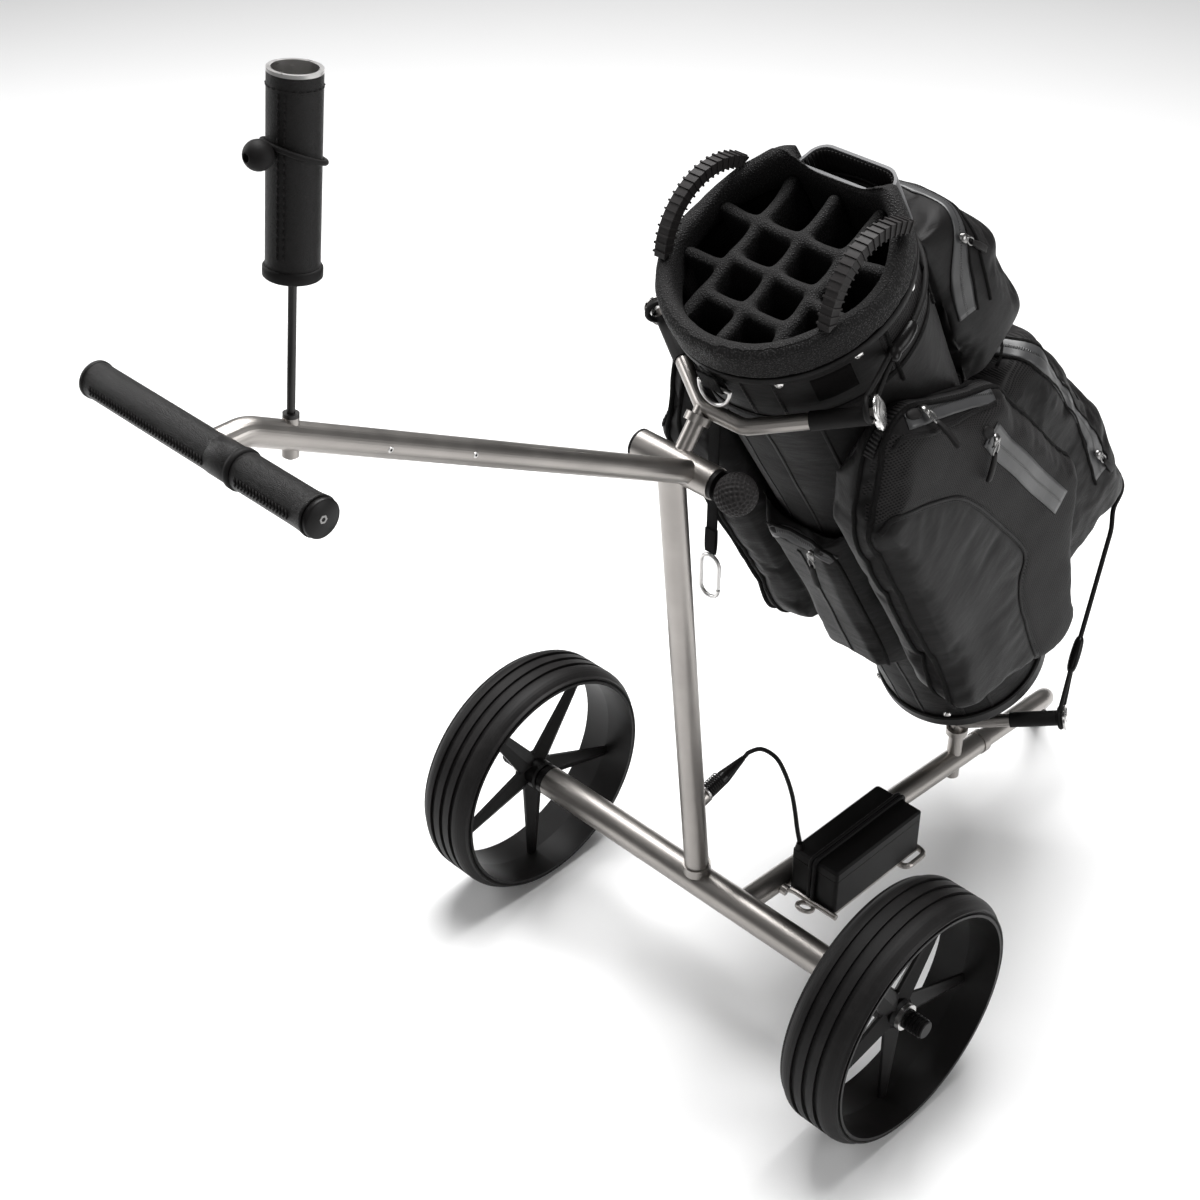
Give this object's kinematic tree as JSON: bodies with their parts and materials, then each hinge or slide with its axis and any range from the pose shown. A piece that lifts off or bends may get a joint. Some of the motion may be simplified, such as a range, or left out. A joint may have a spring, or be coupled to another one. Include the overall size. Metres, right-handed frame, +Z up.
{
  "type": "electric golf cart with bag",
  "caption": "Three-point electric golf trolley: folding tube frame, two ribbed wheels, T-handle with twist throttle, battery and a divided cart bag strapped on top.",
  "frame": {"origin": "on the ground under the middle of the footprint, midway between the back of the grip and the front of the foot", "axes": "+Z up, +Y the way the cart travels, +X to its right across the axle"},
  "size_m": [0.626, 1.2683, 1.2346],
  "materials": {
    "titanium_tube": "satin",
    "black_rubber": "matte",
    "tread_rubber": "matte",
    "black_plastic": "matte",
    "grey_plastic": "matte",
    "bare_steel": "satin",
    "motor_steel": "matte",
    "black_leather": "satin",
    "black_cloth": "matte",
    "mesh_cloth": "matte",
    "elastic_cord": "matte",
    "black_webbing": "matte"
  },
  "bodies": {
    "chassis": {"axle_tube_right": "titanium_tube", "fold_sleeve": "black_plastic", "motor_right": "motor_steel", "front_tube": "titanium_tube", "foot_pad": "black_rubber", "battery_brackets": "titanium_tube", "battery_shelf": "titanium_tube", "battery_case": "black_plastic", "battery_lid": "black_plastic", "battery_strap": "elastic_cord", "cable_relief": "black_rubber", "battery_cable": "elastic_cord"},
    "mast": {"axle_tube_left": "titanium_tube", "motor_left": "motor_steel", "mast": "titanium_tube", "mast_cap": "black_plastic", "power_socket": "titanium_tube", "clamp_bolt": "bare_steel"},
    "handle": {"handle_tube": "titanium_tube", "clamp_washer": "black_rubber", "grip_cover": "black_leather", "grip_caps": "black_plastic"},
    "knob": {"clamp_knob": "black_rubber"},
    "throttle": {"throttle": "black_leather"},
    "holder": {"holder_rod": "titanium_tube", "holder_liner": "bare_steel", "holder_sleeve": "black_leather", "holder_cord": "elastic_cord"},
    "plug": {"plug_body": "black_plastic"},
    "wheel_left": {"tyre_left": "tread_rubber", "rim_left": "black_plastic", "bearing_left": "bare_steel", "drive_shaft_left": "bare_steel"},
    "wheel_right": {"tyre_right": "tread_rubber", "rim_right": "black_plastic", "bearing_right": "bare_steel", "drive_shaft_right": "bare_steel"},
    "button_left": {"wheel_button_left": "black_plastic"},
    "button_right": {"wheel_button_right": "black_plastic"},
    "bag": {"upper_bracket": "titanium_tube", "lower_bracket": "titanium_tube", "bow_sleeves": "black_rubber", "bow_caps": "bare_steel", "upper_strap": "elastic_cord", "lower_strap": "elastic_cord", "bag_trunk": "black_cloth", "bag_collar": "mesh_cloth", "bag_dividers": "mesh_cloth", "putter_well": "grey_plastic", "bag_grips": "black_rubber", "bag_base": "black_plastic", "bag_webbing": "black_webbing", "pocket_right": "black_cloth", "pocket_left": "black_cloth", "pocket_front": "black_cloth", "pocket_ball": "black_cloth", "pocket_rear": "black_cloth"},
    "towel_ring": {"d_ring": "bare_steel"},
    "hook": {"carabiner": "bare_steel"},
    "hook_gate": {"carabiner_gate": "bare_steel"}
  },
  "joints": [
    {"name": "frame_fold", "type": "hinge", "parent": "chassis", "child": "mast", "pos_m": [0, -0.03735, 0.145], "axis": [-1, 0, 0], "range_deg": [0, 90], "deforming": ["battery_cable"]},
    {"name": "bag_lift", "type": "slide", "parent": "chassis", "child": "bag", "axis": [0, 0.866, 0.5], "range_m": [0, 1.42]},
    {"name": "handle_fold", "type": "hinge", "parent": "mast", "child": "handle", "pos_m": [0, -0.09787, 0.72083], "axis": [1, 0, 0], "range_deg": [-15, 112]},
    {"name": "knob_turn", "type": "hinge", "parent": "handle", "child": "knob", "pos_m": [0, -0.09787, 0.72083], "axis": [1, 0, 0], "range_deg": [-1080, 0]},
    {"name": "throttle_twist", "type": "hinge", "parent": "handle", "child": "throttle", "pos_m": [0.108, -0.61916, 0.97827], "axis": [1, 0, 0], "range_deg": [0, 270]},
    {"name": "holder_lift", "type": "slide", "parent": "handle", "child": "holder", "axis": [0, 0.1219, 0.9925], "range_m": [0, 0.06]},
    {"name": "plug_pull", "type": "slide", "parent": "mast", "child": "plug", "axis": [0, 0.9703, 0.2419], "range_m": [0, 0.03], "deforming": ["battery_cable"]},
    {"name": "wheel_spin_left", "type": "hinge", "parent": "mast", "child": "wheel_left", "pos_m": [-0.271, -0.03735, 0.145], "axis": [1, 0, 0], "continuous": true},
    {"name": "wheel_spin_right", "type": "hinge", "parent": "chassis", "child": "wheel_right", "pos_m": [0.271, -0.03735, 0.145], "axis": [1, 0, 0], "continuous": true},
    {"name": "button_press_left", "type": "slide", "parent": "wheel_left", "child": "button_left", "axis": [1, 0, 0], "range_m": [0, 0.004], "stiffness_N_per_m": 400},
    {"name": "button_press_right", "type": "slide", "parent": "wheel_right", "child": "button_right", "axis": [-1, 0, 0], "range_m": [0, 0.004], "stiffness_N_per_m": 400},
    {"name": "d_ring_swing", "type": "hinge", "parent": "bag", "child": "towel_ring", "pos_m": [0.018, -0.06588, 0.79751], "axis": [-1, 0, 0], "range_deg": [-10, 60]},
    {"name": "hook_swing", "type": "hinge", "parent": "bag", "child": "hook", "pos_m": [-0.03459, -0.00273, 0.55401], "axis": [-1, 0, 0], "range_deg": [-20, 20]},
    {"name": "gate_open", "type": "hinge", "parent": "hook", "child": "hook_gate", "pos_m": [-0.02259, -0.00273, 0.51581], "axis": [0, -1, 0], "range_deg": [0, 25], "stiffness_Nm_per_rad": 0.02}
  ],
  "couplings": [
    {"joint": "bag_lift", "follows": "frame_fold", "m_per_rad": 0.9}
  ]
}
